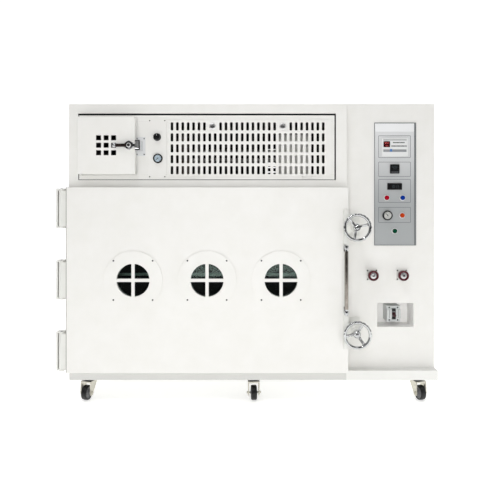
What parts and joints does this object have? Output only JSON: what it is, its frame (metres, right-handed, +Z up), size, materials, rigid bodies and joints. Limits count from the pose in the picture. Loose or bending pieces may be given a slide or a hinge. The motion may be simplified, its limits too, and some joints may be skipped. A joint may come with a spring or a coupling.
{
  "type": "vacuum oven",
  "caption": "Floor-standing vacuum oven on castors: wide clamped door with round sight glasses, plant compartment above and a control section beside it.",
  "frame": {"origin": "on the floor, under the middle of the whole machine, its hinges, handwheels and rear port included", "axes": "+X to the right as the door is faced, +Y from the door to the back, +Z up"},
  "size_m": [1.934, 1.1, 1.525],
  "materials": {
    "cream_enamel": "satin powder coat",
    "white_enamel": "satin powder coat",
    "stainless": "brushed",
    "chrome": "polished",
    "zinc_steel": "passivated zinc",
    "tyre_black": "moulded",
    "silicone": "moulded",
    "sight_glass": "polished",
    "mineral_wool": "fibrous",
    "heater_mat": "matt",
    "panel_grey": "satin film on aluminium",
    "instrument_black": "satin",
    "knob_black": "moulded",
    "button_red": "moulded",
    "button_blue": "moulded",
    "button_green": "moulded",
    "valve_red": "moulded",
    "breaker_grey": "moulded",
    "pump_white": "satin",
    "pipe_steel": "drawn"
  },
  "bodies": {
    "cabinet": {"base_frame": "cream_enamel", "breaker": "breaker_grey", "cabinet_hinge_leaves": "white_enamel", "cable_gland": "knob_black", "caster_plates": "zinc_steel", "chamber_gasket": "silicone", "clamp_receivers": "white_enamel", "cold_trap": "pump_white", "compartment_panel": "white_enamel", "control_casing": "cream_enamel", "control_front_panel": "cream_enamel", "control_panel": "panel_grey", "front_frame": "cream_enamel", "gauge_bodies": "instrument_black", "gauge_plate": "white_enamel", "hinge_pins": "chrome", "insulation": "mineral_wool", "latch_strike": "chrome", "left_casing": "cream_enamel", "panel_instruments": "instrument_black", "rear_caster_forks": "zinc_steel", "rear_panel": "cream_enamel", "shelves": "stainless", "vacuum_chamber": "stainless", "vacuum_pipes": "pipe_steel", "vacuum_pump": "pump_white", "valve_bodies": "stainless", "wall_heaters": "heater_mat"},
    "caster_left": {"caster_fork_left": "zinc_steel"},
    "caster_middle": {"caster_fork_middle": "zinc_steel"},
    "caster_right": {"caster_fork_right": "zinc_steel"},
    "wheel_front_left": {"caster_wheel_front_left": "tyre_black"},
    "wheel_front_middle": {"caster_wheel_front_middle": "tyre_black"},
    "wheel_front_right": {"caster_wheel_front_right": "tyre_black"},
    "wheel_rear_left": {"caster_wheel_rear_left": "tyre_black"},
    "wheel_rear_middle": {"caster_wheel_rear_middle": "tyre_black"},
    "wheel_rear_right": {"caster_wheel_rear_right": "tyre_black"},
    "door": {"door_shell": "white_enamel", "door_inner_plate": "stainless", "viewport_glasses": "sight_glass", "viewport_flanges": "white_enamel", "door_hinge_leaves": "white_enamel", "door_handle": "chrome", "clamp_lugs": "white_enamel"},
    "handwheel_lower": {"handwheel_lower": "chrome"},
    "handwheel_upper": {"handwheel_upper": "chrome"},
    "service_door": {"service_door": "white_enamel"},
    "latch_lever": {"latch_lever": "chrome"},
    "grille": {"grille_panel": "white_enamel"},
    "cam_lock_left": {"cam_lock_left": "chrome"},
    "cam_lock_right": {"cam_lock_right": "chrome"},
    "regulator_knob": {"regulator_knob": "knob_black"},
    "compartment_gauge_needle": {"compartment_gauge_needle": "knob_black"},
    "vacuum_gauge_needle": {"vacuum_gauge_needle": "knob_black"},
    "red_button": {"red_button": "button_red"},
    "blue_button": {"blue_button": "button_blue"},
    "green_button": {"green_button": "button_green"},
    "valve_knob_left": {"valve_knob_left": "valve_red"},
    "valve_knob_right": {"valve_knob_right": "valve_red"},
    "breaker_toggle": {"breaker_toggle": "knob_black"}
  },
  "joints": [
    {"name": "caster_left_swivel", "type": "hinge", "parent": "cabinet", "child": "caster_left", "pos_m": [-0.823, -0.358, 0.095], "axis": [0, 0, 1], "continuous": true},
    {"name": "caster_middle_swivel", "type": "hinge", "parent": "cabinet", "child": "caster_middle", "pos_m": [0.027, -0.358, 0.095], "axis": [0, 0, 1], "continuous": true},
    {"name": "caster_right_swivel", "type": "hinge", "parent": "cabinet", "child": "caster_right", "pos_m": [0.877, -0.358, 0.095], "axis": [0, 0, 1], "continuous": true},
    {"name": "wheel_front_left_roll", "type": "hinge", "parent": "caster_left", "child": "wheel_front_left", "pos_m": [-0.82929, -0.38323, 0.0375], "axis": [0.9703, -0.2419, 0], "continuous": true},
    {"name": "wheel_front_middle_roll", "type": "hinge", "parent": "caster_middle", "child": "wheel_front_middle", "pos_m": [0.02881, -0.38394, 0.0375], "axis": [0.9976, 0.0698, 0], "continuous": true},
    {"name": "wheel_front_right_roll", "type": "hinge", "parent": "caster_right", "child": "wheel_front_right", "pos_m": [0.88373, -0.38311, 0.0375], "axis": [0.9659, 0.2588, 0], "continuous": true},
    {"name": "wheel_rear_left_roll", "type": "hinge", "parent": "cabinet", "child": "wheel_rear_left", "pos_m": [-0.823, 0.438, 0.0375], "axis": [1, 0, 0], "continuous": true},
    {"name": "wheel_rear_middle_roll", "type": "hinge", "parent": "cabinet", "child": "wheel_rear_middle", "pos_m": [0.027, 0.438, 0.0375], "axis": [1, 0, 0], "continuous": true},
    {"name": "wheel_rear_right_roll", "type": "hinge", "parent": "cabinet", "child": "wheel_rear_right", "pos_m": [0.877, 0.438, 0.0375], "axis": [1, 0, 0], "continuous": true},
    {"name": "door_hinge", "type": "hinge", "parent": "cabinet", "child": "door", "pos_m": [-0.94, -0.439, 0.6235], "axis": [0, 0, -1], "range_deg": [0, 110]},
    {"name": "handwheel_lower_spin", "type": "hinge", "parent": "door", "child": "handwheel_lower", "pos_m": [0.532, -0.47, 0.367], "axis": [0, -1, 0], "continuous": true},
    {"name": "handwheel_upper_spin", "type": "hinge", "parent": "door", "child": "handwheel_upper", "pos_m": [0.532, -0.47, 0.89], "axis": [0, -1, 0], "continuous": true},
    {"name": "service_door_hinge", "type": "hinge", "parent": "cabinet", "child": "service_door", "pos_m": [-0.849, -0.42, 1.299], "axis": [0, 0, -1], "range_deg": [0, 90]},
    {"name": "latch_lever_turn", "type": "hinge", "parent": "service_door", "child": "latch_lever", "pos_m": [-0.594, -0.46, 1.298], "axis": [0, -1, 0], "range_deg": [0, 90]},
    {"name": "grille_hinge", "type": "hinge", "parent": "cabinet", "child": "grille", "pos_m": [0.0025, -0.4113, 1.1415], "axis": [1, 0, 0], "range_deg": [0, 90]},
    {"name": "cam_lock_left_turn", "type": "hinge", "parent": "grille", "child": "cam_lock_left", "pos_m": [-0.18194, -0.4093, 1.4005], "axis": [0, -1, 0], "range_deg": [0, 90]},
    {"name": "cam_lock_right_turn", "type": "hinge", "parent": "grille", "child": "cam_lock_right", "pos_m": [0.17594, -0.4093, 1.4005], "axis": [0, -1, 0], "range_deg": [0, 90]},
    {"name": "regulator_knob_turn", "type": "hinge", "parent": "cabinet", "child": "regulator_knob", "pos_m": [-0.4635, -0.407, 1.346], "axis": [0, 1, 0], "range_deg": [0, 270]},
    {"name": "compartment_gauge_swing", "type": "hinge", "parent": "cabinet", "child": "compartment_gauge_needle", "pos_m": [-0.4595, -0.421, 1.237], "axis": [0, 1, 0], "range_deg": [0, 270], "stiffness_Nm_per_rad": 0.0005},
    {"name": "vacuum_gauge_swing", "type": "hinge", "parent": "cabinet", "child": "vacuum_gauge_needle", "pos_m": [0.722, -0.368, 0.946], "axis": [0, 1, 0], "range_deg": [-90, 180], "stiffness_Nm_per_rad": 0.0005},
    {"name": "red_button_press", "type": "slide", "parent": "cabinet", "child": "red_button", "axis": [0, 1, 0], "range_m": [0, 0.003], "stiffness_N_per_m": 400, "springref_m": -0.002},
    {"name": "blue_button_press", "type": "slide", "parent": "cabinet", "child": "blue_button", "axis": [0, 1, 0], "range_m": [0, 0.003], "stiffness_N_per_m": 400, "springref_m": -0.002},
    {"name": "green_button_press", "type": "slide", "parent": "cabinet", "child": "green_button", "axis": [0, 1, 0], "range_m": [0, 0.003], "stiffness_N_per_m": 400, "springref_m": -0.002},
    {"name": "valve_knob_left_turn", "type": "hinge", "parent": "cabinet", "child": "valve_knob_left", "pos_m": [0.643, -0.35, 0.637], "axis": [0, -1, 0], "range_deg": [0, 360]},
    {"name": "valve_knob_right_turn", "type": "hinge", "parent": "cabinet", "child": "valve_knob_right", "pos_m": [0.798, -0.35, 0.637], "axis": [0, -1, 0], "range_deg": [0, 360]},
    {"name": "breaker_toggle_flip", "type": "hinge", "parent": "cabinet", "child": "breaker_toggle", "pos_m": [0.7655, -0.317, 0.427], "axis": [-1, 0, 0], "range_deg": [0, 40]}
  ]
}
